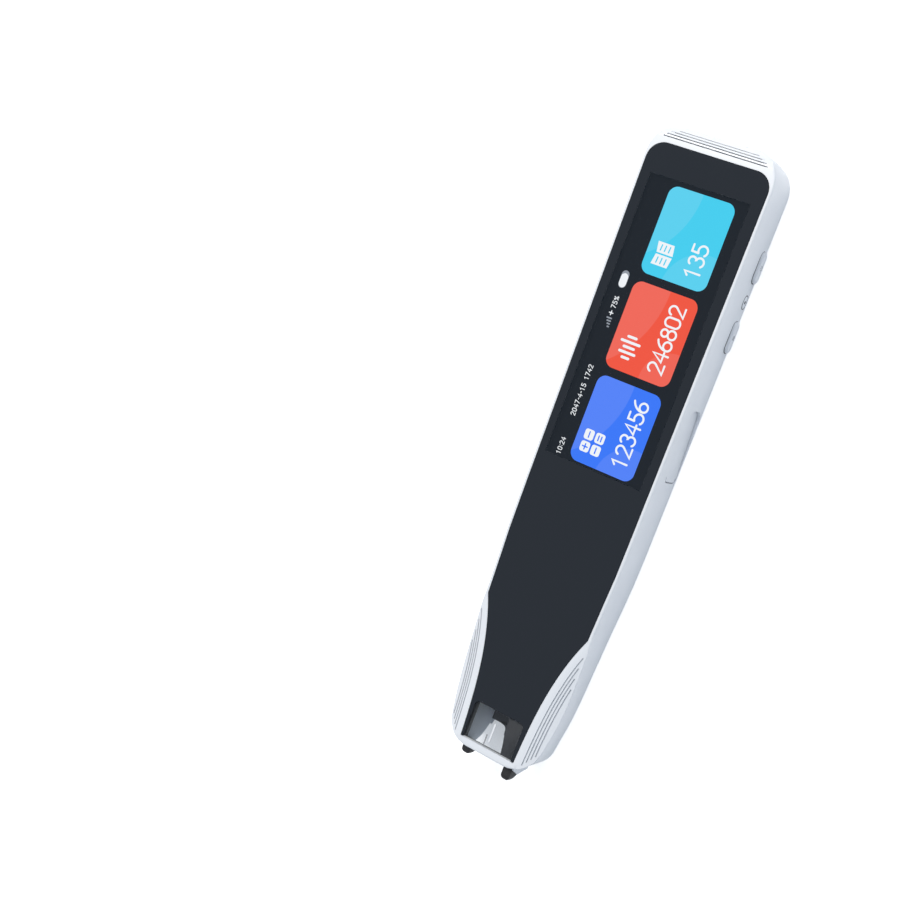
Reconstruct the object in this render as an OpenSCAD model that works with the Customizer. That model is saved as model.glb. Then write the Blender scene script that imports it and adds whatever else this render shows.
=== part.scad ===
// Scanning translator pen, lying on its back: +X right, +Y to the top end, +Z out of the screen.
// The origin is the middle of the flat back. All sizes are in millimetres.

/* [Body] */
// Length of the housing from tip to top end
body_length = 161.4; // [156:0.2:168]
// Half the width of the housing at its front edge
half_width = 17.65; // [17.4:0.05:18.4]
// Height of the front lip above the back
front_z = 13.8; // [13.8:0.1:14.6]
// Narrowing of the sides for each millimetre towards the tip
side_taper = 0.0108; // [0.008:0.0002:0.012]
// Step inwards of the sides where the glass starts to narrow
waist = 0.55; // [0.4:0.05:0.7]
// Rounding of the sides towards the tip
side_bow = 0.00174; // [0.0015:0.00002:0.0019]
// Inward lean of the sides for each millimetre towards the back
draft = 0.08; // [0.06:0.01:0.1]
// Extra lean of the sides at the tip, as a share of the lean above
tip_lean = 1.1; // [0.5:0.1:1.2]
// How upright the wall of the tip stands, from 0 for the lean of the sides to 1
tip_fill = 0.6; // [0.4:0.05:0.8]
// Radius of the two corners at the top end
top_r = 8.8; // [7:0.1:10]
// Radius of the two corners at the tip
tip_r = 8.1; // [7.5:0.1:8.4]
// Radius of the rounded rear edge
rear_r = 1.3; // [1.1:0.1:1.5]
// Radius of the front edge of the lip
lip_r = 0.5; // [0.3:0.05:0.6]
// Radius of the rounded shoulder at the front of the top end
shoulder_r = 4.0; // [3.5:0.1:4.2]
// Radius of the rounding from the back to the tip
tip_rear_r = 8.0; // [7:0.1:9]
// Width of the lip beside the glass
lip_w = 0.91; // [0.8:0.01:1.0]
// Inset of the cavity walls from the front outline
wall = 2.1; // [1.9:0.05:2.2]
// Height of the parting line between housing and rear cover
parting_z = 1.0; // [0.95:0.05:1.1]
// Thickness of the floor of the rear cover
floor_t = 0.9; // [0.8:0.05:0.9]

/* [Front glass] */
// Top edge of the glass
glass_top_y = 75.2; // [74.6:0.1:75.4]
// Bottom edge of the glass at the tip
glass_tip_y = -78.6; // [-78.8:0.1:-78.4]
// Place along the body where the glass starts to narrow
glass_shoulder_y = -43.2; // [-44:0.1:-42.6]
// Half the width of the glass at the tip
nose_half_w = 7.93; // [7.9:0.01:8.1]
// Thickness of the glass
glass_t = 1.1; // [1.0:0.05:1.2]
// Height that the glass stands above the lip
glass_proud = 0.2; // [0.1:0.05:0.3]
// Radius of the upper corners of the glass
glass_r = 4.4; // [4:0.1:5]
// Gap around the glass
glass_gap = 0.08; // [0.05:0.01:0.1]

/* [Scan window and chamber] */
// Half the width of the clear window
window_half_w = 7.3; // [7.1:0.05:7.4]
// Upper edge of the clear window
window_top_y = -68.9; // [-69.5:0.1:-68.5]
// Radius of the upper corners of the window
window_r = 1.1; // [0.8:0.1:1.4]
// Half the width of the reading chamber outside its lining
chamber_half_w = 8.0; // [7.95:0.05:8.05]
// Upper edge of the opening in the back
aperture_top_y = -74.4; // [-75:0.1:-74]

/* [Grip] */
// Fall of the nose flanks one millimetre out from their inner edge
flank_fall = 0.2; // [0.14:0.01:0.22]
// Distance of the first grip groove from the glass
groove_offset = 2.2; // [2:0.05:2.3]
// Spacing of the grip grooves
groove_pitch = 0.71; // [0.6:0.01:0.74]
// Width of a grip groove
groove_w = 0.32; // [0.2:0.02:0.34]
// Depth of a grip groove
groove_depth = 0.28; // [0.2:0.02:0.32]

/* [Display] */
// Half the width of the display module
display_half_w = 14.5; // [14.3:0.05:14.5]
// Lower edge of the display module
display_y0 = -8.9; // [-9.2:0.1:-8.6]
// Upper edge of the display module
display_y1 = 69.9; // [69.6:0.1:70.2]

/* [Side keys] */
// Place of the power button along the body
power_y = 54.6; // [53.5:0.1:55.5]
// Place of the menu button along the body
menu_y = 36.8; // [36:0.1:37.5]
// Place of the microphone hole along the body
mic_y = 45.7; // [45.2:0.1:46.2]
// Height of the row of side keys
key_z = 2.9; // [2.9:0.05:3.0]
// Length of a side button
key_len = 8.0; // [7.5:0.1:8.4]
// Width of a side button
key_w = 3.1; // [2.6:0.1:3.1]
// Height of a side button above the side
key_proud = 0.7; // [0.5:0.05:0.8]

/* [Port and lanyard] */
// Place of the port cover along the body
port_y = 8.0; // [7.9:0.05:8.2]
// Length of the port cover pocket
port_len = 18.6; // [18.2:0.1:18.8]
// Width of the port cover pocket
port_w = 7.2; // [6.8:0.1:7.2]
// Radius of the corners of the port cover pocket
port_r = 2.4; // [2.2:0.1:2.6]
// Angle by which the face of the port cover slopes inwards to its free end
cover_slope = 2.3; // [1.5:0.1:2.6]
// Place of the lanyard insert along the body
lanyard_y = 53.35; // [53:0.05:54]

/* [Trigger] */
// Distance of the moving foot from the middle
foot_x = 6.2; // [6.1:0.05:6.25]
// Distance of the fixed foot from the middle
support_x = 6.35; // [6.1:0.05:6.45]
// Width of a foot
foot_w = 2.5; // [2.4:0.1:2.6]
// Lowest point of the moving foot
trigger_tip_y = -84.25; // [-84.5:0.05:-84]
// Lowest point of the fixed foot
support_tip_y = -83.0; // [-83.2:0.1:-82.8]

/* [Hidden] */

$fn = 48;
eps = 0.01;
top_y = body_length / 2;
tip_y = -body_length / 2;
taper_y = 68.1;
waist_y = -22;
bow_y = -54;
lean_y = -30;
draft_angle = atan(draft);
glass_z = front_z + glass_proud - glass_t;
glass_top_z = front_z + glass_proud;
side_steps = 22;
corner_steps = 8;
join_angle = 12;
tip_corner_y = tip_y + tip_r;
tip_corner_x = half_w(tip_corner_y - tip_r * sin(join_angle)) - tip_r * cos(join_angle);
cavity_top_z = 11.7;
nose_cavity_top_z = 10.0;
nose_roof_z = 11.4;
chamber_top_y = window_top_y + 0.8;
port_z = 5.4;
lanyard_z = 5.4;
hinge_y = -port_len / 2 + 0.7;
hinge_depth = -0.55;
board_z = 2.75;
board_t = 1.0;
dome_x = 14.0;
key_gap = 0.35;
trigger_z = 9.6;
shaft_r = 0.95;
lip_bar_z = 11.6;
lining_top_z = 11.65;

// Smooth step from 0 to 1
function smooth(t) = let (c = min(1, max(0, t))) c * c * (3 - 2 * c);

// Half the width of the front outline at a place along the body
function half_w(y) = half_width - side_taper * (taper_y - min(y, taper_y))
    - waist * smooth((waist_y - y) / 20) - side_bow * pow(max(0, bow_y - y), 2.34);

// Half the width of the glass: beside the lip, then a cubic curve into the nose
function glass_half_w(y) = y > glass_shoulder_y ? half_w(y) - lip_w
    : nose_half_w + 0.055 * (y + 80) + 0.0000989 * pow(y + 80, 3);

// Distance of the side surface from the middle at a place and a height
function side_x(y, z) = half_w(y) - draft * (front_z - z);

// Inset of the outer skin at a height from the rounded front and rear edges
function edge_inset(z) = (z < rear_r ? rear_r - sqrt(pow(rear_r, 2) - pow(rear_r - z, 2)) : 0)
    + (z > front_z - lip_r ? lip_r - sqrt(pow(lip_r, 2) - pow(z - front_z + lip_r, 2)) : 0);

// Points on an arc
function arc(cx, cy, r, a0, a1, n) = [
    for (i = [0:n]) let (a = a0 + (a1 - a0) * i / n) [cx + r * cos(a), cy + r * sin(a)]
];

// A list of points and its mirror image, joined to one ring
function ring(side) = concat(side, [for (i = [len(side) - 1:-1:0]) [-side[i][0], side[i][1]]]);

// Growth of the lean of the sides from the grip to the tip
function lean_factor(y) = 1 + tip_lean * smooth((lean_y - y) / 33);

// Front outline of the body, moved inwards by an even inset and by the lean of the sides
function outline(inset, lean = 0) = ring(concat(
    arc(tip_corner_x, tip_corner_y - tip_fill * lean * lean_factor(tip_corner_y),
        tip_r - inset - lean * lean_factor(tip_corner_y), -90, -join_angle, corner_steps),
    [for (i = [1:side_steps - 1])
        let (y = tip_corner_y + (top_y - top_r - tip_corner_y) * pow(i / side_steps, 1.5))
        [half_w(y) - inset - lean * lean_factor(y), y]],
    arc(half_width - top_r, top_y - top_r, top_r - inset - lean, 0, 90, corner_steps)
));

// Outline of the glass, made larger by a gap
function glass_outline(gap) = ring(concat(
    [for (i = [0:20])
        let (y = glass_tip_y - gap + (glass_shoulder_y - glass_tip_y + gap) * i / 20)
        [glass_half_w(y) + gap, y]],
    [for (y = [-38, -26, -14, 0, 34]) [glass_half_w(y) + gap, y]],
    arc(half_width - lip_w - glass_r, glass_top_y - glass_r, glass_r + gap, 0, 90, corner_steps)
));

// Solid between rings of equal length that are stacked in height
module loft(rings) {
    n = len(rings[0]);
    levels = len(rings);
    polyhedron(
        points = [for (r = rings) for (p = r) p],
        faces = concat(
            [[for (i = [0:n - 1]) i]],
            [[for (i = [n - 1:-1:0]) (levels - 1) * n + i]],
            [for (l = [0:levels - 2]) for (i = [0:n - 1]) let (j = (i + 1) % n)
                [l * n + i, (l + 1) * n + i, (l + 1) * n + j]],
            [for (l = [0:levels - 2]) for (i = [0:n - 1]) let (j = (i + 1) % n)
                [l * n + i, (l + 1) * n + j, l * n + j]]
        )
    );
}

// Outer skin of the body between the given heights
module skin(heights) {
    loft([for (z = heights)
        [for (p = outline(edge_inset(z), draft * (front_z - z))) [p[0], p[1], z]]]);
}

// Extrudes a flat shape along X: its x is the body's Y and its y is the body's Z
module along_x(x0, x1) {
    translate([x0, 0, 0]) rotate([90, 0, 90]) linear_extrude(height = x1 - x0) children();
}

// Box given by its lowest and highest corners
module box(low, high) {
    translate(low) cube(high - low);
}

// Cylinder along Y between two places
module rod_y(x, z, y0, y1, r) {
    translate([x, y1, z]) rotate([90, 0, 0]) cylinder(r = r, h = y1 - y0);
}

// Side view of the body: rounded shoulder at the top end, rounded rear corner at the tip
module side_profile() {
    along_x(-30, 30) difference() {
        translate([tip_y - 1, -1]) square([body_length + 2, front_z + 2]);
        translate([top_y - 0.35, front_z]) corner_cut(shoulder_r, -1, -1);
        translate([tip_y + 0.35, 0]) corner_cut(tip_rear_r, 1, 1);
    }
}

// The waste outside a rounded corner; sx and sy point from the corner into the shape
module corner_cut(r, sx, sy) {
    scale([sx, sy]) difference() {
        translate([-3, -3]) square([r + 3, r + 3]);
        translate([r, r]) circle(r = r, $fn = 96);
    }
}

// Puts its children on the right side wall, +X out of the wall
module on_right(y, z) {
    translate([side_x(y, z), y, z]) rotate([0, draft_angle, 0]) children();
}

// Puts its children on the left side wall, mirrored
module on_left(y, z) {
    mirror([1, 0, 0]) on_right(y, z) children();
}

// Rectangle with round corners; the two corners at its low end have their own radius
module plate(length, width, r, low_r) {
    translate([low_r - length / 2, -width / 2]) square([length - r - low_r, width]);
    for (end = [[-1, low_r], [1, r]]) {
        translate([end[0] * (length - end[1]) / 2, 0])
            square([end[1], width - 2 * end[1]], center = true);
        for (t = [-1, 1])
            translate([end[0] * (length / 2 - end[1]), t * (width / 2 - end[1])]) circle(r = end[1]);
    }
}

// Flat bar with round ends
module stadium(length, width) {
    square([length - width, width], center = true);
    for (s = [-1, 1]) translate([s * (length - width) / 2, 0]) circle(d = width);
}

// Height of a nose flank at a distance from the edge of the glass
function flank_z(offset) = front_z - flank_fall * pow(max(0, offset - 0.5), 1.27);

// Waste above the sloping flank on the right of the nose
module flank_cut() {
    steps = 14;
    first_y = glass_shoulder_y + 7;
    loft([for (i = [0:steps])
        let (
            y = first_y + (tip_y - 1 - first_y) * i / steps,
            x = glass_half_w(y),
            reach = half_w(y) + 0.6 - x
        )
        concat(
            [for (u = [0.5 / reach, 0.25, 0.4, 0.6, 0.8, 1])
                [x + reach * u, y, flank_z(reach * u)]],
            [[x + reach + 3, y, flank_z(reach)], [x + reach + 3, y, front_z + 2],
             [x + 0.5, y, front_z + 2]]
        )]);
}

// One grip groove that follows the edge of the glass
module groove(offset, y0, y1) {
    steps = 12;
    z = flank_z(offset);
    loft([for (i = [0:steps])
        let (y = y1 + (y0 - y1) * i / steps, x = glass_half_w(y) + offset)
        [[x - groove_w / 2, y, z - groove_depth], [x + groove_w / 2, y, z - groove_depth],
         [x + groove_w / 2, y, z + 1], [x - groove_w / 2, y, z + 1]]]);
}

module nose_grip() {
    flank_cut();
    for (i = [0:3]) groove(groove_offset + groove_pitch * i, -78.3 + 1.1 * i, -47.6 - 2.8 * i);
}

// Inner room of the housing
module cavity() {
    translate([0, 0, parting_z - 1]) intersection() {
        linear_extrude(height = cavity_top_z - parting_z + 1) polygon(outline(wall));
        union() {
            box([-20, -40, 0], [20, top_y, 20]);
            box([-11, chamber_top_y + 1.2, 0], [11, -39.9, nose_cavity_top_z - parting_z + 1]);
            box([-8.5, chamber_top_y + 1.2, 0], [8.5, -39.9, nose_roof_z - parting_z + 1]);
        }
    }
}

// Reading chamber: open to the back, the tip and the window
module chamber() {
    box([-chamber_half_w, glass_tip_y - 0.1, -1], [chamber_half_w, chamber_top_y, glass_z + eps]);
    box([-chamber_half_w, tip_y - 2, -1], [chamber_half_w, glass_tip_y, lip_bar_z]);
}

module housing() {
    color("white") difference() {
        union() {
            difference() {
                intersection() {
                    skin(concat([parting_z, rear_r], [for (a = [0, 22.5, 45, 67.5, 90]) front_z - lip_r * (1 - sin(a))]));
                    side_profile();
                }
                cavity();
            }
            box([12.9, port_y - 10.8, 1.4], [14.95, port_y + 10.6, 9.6]);
            for (x = [-11, 11]) for (y = [-13.2, 73.2])
                translate([x, y, 10.5]) cylinder(r = 2.2, h = cavity_top_z - 10.5 + eps);
            foot_guard(1.1);
            mirror([1, 0, 0]) foot_guard(-0.3);
        }
        chamber();
        translate([0, 0, glass_z]) linear_extrude(height = 3) polygon(glass_outline(glass_gap));
        box([-display_half_w - 0.15, display_y0 - 0.15, cavity_top_z - 1],
            [display_half_w + 0.15, display_y1 + 0.15, glass_z + 1]);
        nose_grip();
        mirror([1, 0, 0]) nose_grip();
        speaker_slots();
        for (x = [-11, 11]) for (y = [-13.2, 73.2])
            translate([x, y, 10]) cylinder(r = 0.7, h = 2.6);
        for (y = [power_y, menu_y]) on_right(y, key_z)
            along_x(-3, 1) stadium(key_len + 0.24, key_w + 0.2);
        on_right(mic_y, key_z) {
            along_x(-0.9, 1) stadium(3.46, 2.36);
            along_x(-3, 0) circle(r = 0.6);
        }
        on_right(port_y, port_z) port_pocket();
        translate([0, port_y, port_z]) along_x(12, 15.4) stadium(9.1, 3.4);
        on_left(lanyard_y, lanyard_z) along_x(-3, 1) stadium(18.5, 6.3);
        rod_y(foot_x, trigger_z, tip_y - 1, chamber_top_y + 3, shaft_r + 0.3);
        box([-4.7, chamber_top_y - eps, 2.1], [4.7, chamber_top_y + 1.2 + eps, 10]);
    }
}

// Gusset below the lip that shields the outer side of a foot
module foot_guard(reach) {
    along_x(7.9, 8.5) polygon([
        [-79.3, 12.5], [tip_y + 0.28 - 0.3 * reach, 12.5], [tip_y + 0.3 - 0.64 * reach, lip_bar_z],
        [tip_y - reach, 10], [-80.5, 5.6], [-79.3, 5.6]
    ]);
}

// Shallow grooves across the top end, each with a narrow sound slit in its floor
module speaker_slots() {
    for (i = [0:3]) {
        half = [14.3, 13.6, 12.8, 11.7][i];
        y = 76.75 + 0.68 * i;
        floor_z = front_z - 0.45 - [0, 0.02, 0.1, 0.28][i];
        box([-half, y - 0.15, floor_z], [half, y + 0.15, front_z + 1]);
        box([0.8 - half, y - 0.06, 11.2], [half - 0.8, y + 0.06, front_z]);
    }
}

// Pocket of the port cover with its pin holes
module port_pocket() {
    along_x(-1.5, 1) plate(port_len, port_w, port_r, 1.5);
    translate([hinge_depth, hinge_y, -4.0]) cylinder(r = 0.21, h = 8.0);
}

module rear_cover() {
    color("white") difference() {
        union() {
            intersection() {
                skin([0, 0.1, 0.4, 0.8, parting_z]);
                side_profile();
            }
            difference() {
                translate([0, 0, floor_t]) linear_extrude(height = 2.1) polygon(outline(wall + 0.06));
                translate([0, 0, floor_t - 1]) linear_extrude(height = 4) polygon(outline(wall + 1.06));
                box([10, port_y - 11.2, parting_z], [20, power_y + 6.5, 5]);
                box([-20, lanyard_y - 10.6, parting_z], [-10, lanyard_y + 10.6, 5]);
                box([-30, -90, 0], [30, -39, 5]);
            }
        }
        translate([0, 0, floor_t]) linear_extrude(height = 3) intersection() {
            polygon(outline(wall + 1.06));
            translate([-30, chamber_top_y + 1.2]) square([60, 200]);
        }
        hull() {
            for (s = [-1, 1]) translate([s * (window_half_w - 0.9), aperture_top_y - 0.9, -1])
                cylinder(r = 0.9, h = 5, $fn = 32);
            box([-window_half_w, tip_y - 2, -1], [window_half_w, tip_y - 1, 4]);
        }
        box([-chamber_half_w, tip_y - 2, floor_t], [chamber_half_w, chamber_top_y, 5]);
    }
}

module front_glass() {
    color([0.17, 0.2, 0.24]) difference() {
        translate([0, 0, glass_z]) linear_extrude(height = glass_t) polygon(glass_outline(0));
        translate([0, 0, glass_z - 1]) linear_extrude(height = 4) window_shape(0.03);
    }
}

// Window with two round upper corners; its straight lower edge is the edge of the glass
module window_shape(gap) {
    low_y = glass_tip_y - 3 * gap;
    translate([-window_half_w - gap, low_y])
        square([2 * (window_half_w + gap), window_top_y - window_r - low_y]);
    translate([-window_half_w + window_r, low_y])
        square([2 * (window_half_w - window_r), window_top_y + gap - low_y]);
    for (s = [-1, 1]) translate([s * (window_half_w - window_r), window_top_y - window_r])
        circle(r = window_r + gap);
}

module scan_window() {
    color([0.8, 0.85, 0.9, 0.4]) translate([0, 0, glass_z])
        linear_extrude(height = glass_t) window_shape(0);
}

module display_panel() {
    color([0.3, 0.75, 0.9])
        box([-display_half_w, display_y0, 11.8], [display_half_w, display_y1, glass_z]);
}

module backlight_unit() {
    color("gainsboro") difference() {
        box([-display_half_w, display_y0, 10.5], [display_half_w, display_y1, 11.8]);
        box([-10, display_y0 - 1, 10.4], [10, display_y0 + 3, 10.9]);
    }
}

module mid_frame() {
    color("silver") difference() {
        union() {
            box([-14.4, -16, 9.7], [14.4, 75.4, 10.5]);
            for (x = [-11.6, 10.6]) for (y = [-1.6, 63.6])
                translate([x, y, board_z + board_t]) cylinder(r = 1.7, h = 10.5 - board_z - board_t);
        }
        for (x = [-11.6, 10.6]) for (y = [-1.6, 63.6])
            translate([x, y, board_z]) cylinder(r = 0.6, h = 4);
        for (x = [-11, 11]) for (y = [-13.2, 73.2])
            translate([x, y, 9]) cylinder(r = 0.8, h = 3);
        for (y = [8, 24, 40]) translate([-8, y, 9]) cube([16, 9, 3]);
    }
}

// Pan-head screw with a driver recess, pointing along +Z, its head below z = 0
module screw(shank_r, length, head_r, head_h) {
    difference() {
        union() {
            cylinder(r = shank_r, h = length);
            translate([0, 0, -head_h]) cylinder(r = head_r, h = head_h);
        }
        for (a = [0, 90]) rotate([0, 0, a])
            translate([-head_r * 0.6, -0.15, -head_h - eps]) cube([head_r * 1.2, 0.3, 0.35]);
    }
}

module frame_screws() {
    color("dimgray") for (x = [-11, 11]) for (y = [-13.2, 73.2])
        translate([x, y, 9.7]) screw(0.66, 2.6, 1.3, 0.6);
}

module main_board() {
    color("darkgreen") difference() {
        box([-14.0, -4.4, board_z], [12.7, 66.4, board_z + board_t]);
        box([-15, lanyard_y - 10, board_z - 1], [-12.9, lanyard_y + 10, board_z + 3]);
        for (x = [-11.6, 10.6]) for (y = [-1.6, 63.6])
            translate([x, y, board_z - 1]) cylinder(r = 0.75, h = 3);
    }
}

module board_screws() {
    color("dimgray") for (x = [-11.6, 10.6]) for (y = [-1.6, 63.6])
        translate([x, y, board_z]) screw(0.56, 3.2, 1.2, 0.6);
}

module shield_can() {
    color("silver") difference() {
        box([-9, 20, board_z + board_t], [7, 44, board_z + board_t + 1.6]);
        for (i = [0:3]) for (j = [0:5])
            translate([-7 + 4 * i, 22 + 4 * j, board_z + board_t + 1.2]) cylinder(r = 0.5, h = 2, $fn = 24);
    }
}

module battery() {
    color("lightsteelblue") {
        box([-10.6, -55, floor_t + 0.6], [10.6, -12, floor_t + 6]);
        box([-10.6, -12, floor_t + 2.6], [10.6, -8.6, floor_t + 4]);
    }
}

module battery_pads() {
    color("dimgray") for (y = [-50, -24])
        box([-9, y, floor_t], [9, y + 8, floor_t + 0.6]);
}

module speaker() {
    color([0.2, 0.2, 0.22]) difference() {
        union() {
            box([-9.5, 67.9, floor_t], [9.5, 77.3, 5.4]);
            translate([0, 72.6, 5.4]) cylinder(r = 4, h = 0.5);
        }
        translate([0, 72.6, 5.6]) cylinder(r = 3.2, h = 1);
    }
}

module key_board() {
    color("darkgreen") box([12.9, menu_y - 5.4, floor_t], [13.6, power_y + 5.4, 6.2]);
}

module dome_switches() {
    color("gold") for (y = [power_y, menu_y])
        translate([13.6, y, key_z]) rotate([0, 90, 0]) {
            cylinder(r = 1.6, h = 0.25);
            cylinder(r = 1.1, h = dome_x - 13.6);
        }
}

module microphone() {
    color("silver") box([13.6, mic_y - 1.5, key_z - 1], [14.6, mic_y + 1.5, key_z + 1]);
}

module mic_trim() {
    color("whitesmoke") on_right(mic_y, key_z) along_x(-0.9, 0.06) difference() {
        stadium(3.2, 2.1);
        circle(r = 0.36);
    }
}

// Side button: domed cap, flange inside the wall and the stem that meets the dome switch
module side_button(y) {
    stem_end = dome_x + key_gap - side_x(y, key_z);
    inner = -wall + draft * (front_z - key_z) - 0.25;
    on_right(y, key_z) {
        along_x(inner - 0.5, key_proud - 0.25) stadium(key_len, key_w);
        along_x(key_proud - 0.25, key_proud - 0.1) stadium(key_len - 0.24, key_w - 0.24);
        along_x(key_proud - 0.1, key_proud) stadium(key_len - 0.7, key_w - 0.7);
        along_x(inner - 0.5, inner) stadium(key_len + 1.4, key_w);
    }
    translate([side_x(y, key_z) + stem_end, y, key_z]) rotate([0, 90, 0])
        cylinder(r = 0.8, h = -stem_end + inner - 0.3);
}

module power_button() {
    color("white") side_button(power_y);
}

module menu_button() {
    color("white") side_button(menu_y);
}

module usb_socket() {
    color("silver") translate([0, port_y, port_z]) {
        along_x(8.2, 14.6) difference() {
            stadium(9.0, 3.3);
            stadium(8.3, 2.6);
        }
        along_x(8.2, 8.9) stadium(8.6, 2.9);
        along_x(8.8, 14.2) square([6.7, 0.7], center = true);
    }
}

// Cover, flush at its hinge end, where it is round about the pin; it slopes inwards to its free
// end, so that a nail catches it there
module port_cover() {
    color("white") on_right(port_y, port_z) difference() {
        intersection() {
            along_x(-1.3, -0.1) plate(port_len - 0.2, port_w - 0.2, port_r - 0.1, 2.0);
            union() {
                translate([-2, hinge_y, -5]) cube([3, 30, 10]);
                translate([hinge_depth, hinge_y, -4]) cylinder(r = 0.6, h = 8);
            }
        }
        for (s = [-1, 1]) translate([-0.1, hinge_y - 1, s * 2.84]) rotate([0, -45 * s, 0])
            translate([0, 0, -1.5]) cube([3, 1.62, 3]);
        translate([hinge_depth, hinge_y, -5]) cylinder(r = 0.24, h = 10);
        translate([-0.1, hinge_y + 0.9, -5]) rotate([0, 0, cover_slope]) cube([4, 25, 10]);
    }
}

module port_cover_pin() {
    color("dimgray") on_right(port_y, port_z)
        translate([hinge_depth, hinge_y, -3.9]) cylinder(r = 0.2, h = 7.8);
}

// Insert with a recessed bar; a cord passes behind the bar from one opening to the other
module lanyard_insert() {
    color("white") on_left(lanyard_y, lanyard_z) difference() {
        along_x(-3.3, -0.04) stadium(18.4, 6.2);
        along_x(-0.7, 1) stadium(15.4, 3.7);
        for (s = [-1, 1]) translate([0, s * 5.4, 0]) along_x(-2.7, 1) stadium(4.2, 3.0);
        along_x(-2.7, -1.7) square([12, 2.4], center = true);
    }
}

// Dark lining of the reading chamber: frame below the window, end wall and floor strip, and the
// block that guides the trigger
module scan_hood() {
    wall_x = window_half_w - 0.05;
    outer_x = chamber_half_w - 0.02;
    color([0.25, 0.26, 0.29]) difference() {
        intersection() {
            union() {
                box([wall_x, glass_tip_y, floor_t], [outer_x, chamber_top_y, glass_z]);
                box([wall_x + 0.45, tip_y + 0.3, floor_t], [outer_x, glass_tip_y + eps, lip_bar_z]);
                box([-outer_x, glass_tip_y, lining_top_z], [-wall_x, chamber_top_y, glass_z]);
                box([-wall_x - eps, window_top_y, floor_t], [wall_x + eps, chamber_top_y, glass_z]);
                box([-wall_x - eps, aperture_top_y + 0.1, floor_t], [wall_x + eps, chamber_top_y, 2.1]);
                translate([0, 0, trigger_z - 1.6]) linear_extrude(height = glass_z - trigger_z + 1.6)
                    polygon([[2.4, chamber_top_y], [2.65, -73.4], [3.2, -76], [3.6, glass_tip_y],
                        [wall_x + eps, glass_tip_y], [wall_x + eps, chamber_top_y]]);
            }
            translate([0, 0.5, 0.3]) side_profile();
        }
        rod_y(foot_x, trigger_z, tip_y, chamber_top_y + 1, shaft_r + 0.05);
        rod_y(0, 6.5, window_top_y - 1, chamber_top_y + 1, 2.35);
        box([-6.3, window_top_y - 1, 9.3], [1.5, window_top_y + 0.5, 11.7]);
    }
}

// Light side wall of the reading chamber; its lower edge follows the rounded tip
module side_lining() {
    end_y = tip_y + 0.3;
    color([0.7, 0.73, 0.78]) along_x(0.02 - chamber_half_w, 0.02 - window_half_w) polygon([
        [chamber_top_y, 2.0], [-74.2, 2.0], [-75.4, 2.15], [-76.4, 2.6], [-77.5, 3.25],
        [-78.5, 4.0], [-79.3, 4.95], [-79.8, 5.7], [end_y, 6.9], [end_y, lip_bar_z - 0.02],
        [glass_tip_y - 0.02, lip_bar_z - 0.02], [glass_tip_y - 0.02, lining_top_z - 0.02],
        [chamber_top_y, lining_top_z - 0.02]
    ]);
}

module camera_module() {
    color([0.12, 0.13, 0.15]) {
        box([-4.2, chamber_top_y, 3.4], [4.2, chamber_top_y + 5.5, 9.6]);
        box([-4.4, chamber_top_y + 5.5, 2.4], [4.4, chamber_top_y + 6.3, 10]);
    }
}

module camera_lens() {
    color([0.05, 0.05, 0.06]) difference() {
        rod_y(0, 6.5, window_top_y - 0.2, chamber_top_y, 2.3);
        rod_y(0, 6.5, window_top_y - 1, window_top_y + 0.2, 1.4);
    }
}

module light_board() {
    color("darkgreen") box([-6.25, window_top_y + 0.25, 9.35], [1.45, window_top_y + 0.5, 11.65]);
}

module reading_leds() {
    color("lightyellow") for (x = [-4.9, -2.4, 0.1])
        box([x - 0.8, window_top_y - 0.05, 9.9], [x + 0.8, window_top_y + 0.25, 11.1]);
}

module camera_ribbon() {
    color([0.75, 0.45, 0.15]) {
        box([-3.5, -60, floor_t + 6], [3.5, -6, floor_t + 6.15]);
        box([-3.5, -61.8, floor_t + 6], [3.5, -60, floor_t + 6.15]);
        box([-3.5, -6.15, board_z + board_t], [3.5, -6, floor_t + 6.15]);
        box([-3.5, -6.15, board_z + board_t], [3.5, -1, board_z + board_t + 0.15]);
    }
}

// A foot at the tip: round in front view, its underside sloping back to the root
module foot(x, end_y, root_y, top_z) {
    half = foot_w / 2;
    translate([x, 0, 0]) intersection() {
        along_x(-half, half) polygon(concat(
            arc(end_y + 0.9, top_z - 0.9, 0.9, 90, 235, 10),
            [[end_y + 1.7, top_z - 3.5], [root_y, top_z - 3.7], [root_y, top_z]]
        ));
        translate([0, 0, 6]) linear_extrude(height = 8) {
            translate([-half, end_y + half]) square([foot_w, root_y - end_y]);
            translate([0, end_y + half]) circle(r = half);
        }
    }
}

module trigger_foot() {
    color([0.1, 0.1, 0.1]) {
        foot(foot_x, trigger_tip_y, tip_y - 0.2, lip_bar_z - 0.1);
        rod_y(foot_x, trigger_z, tip_y - 0.4, -62.2, shaft_r);
        rod_y(foot_x, trigger_z, -66.2, -65.4, 1.5);
    }
}

module support_foot() {
    color([0.1, 0.1, 0.1]) {
        foot(-support_x, support_tip_y, tip_y + 0.28, lip_bar_z);
        box([-support_x - 0.8, tip_y, 10.3], [-support_x + 0.8, tip_y + 0.9, lip_bar_z]);
    }
}

module switch_plunger() {
    color("crimson") rod_y(foot_x, trigger_z - 0.1, -62.2, -59.6, 0.6);
}

module trigger_switch() {
    color([0.15, 0.16, 0.18]) difference() {
        box([foot_x - 1.9, -60.8, 7.2], [foot_x + 1.9, -56.6, nose_roof_z]);
        rod_y(foot_x, trigger_z - 0.1, -61.5, -57.6, 0.65);
    }
}

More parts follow.
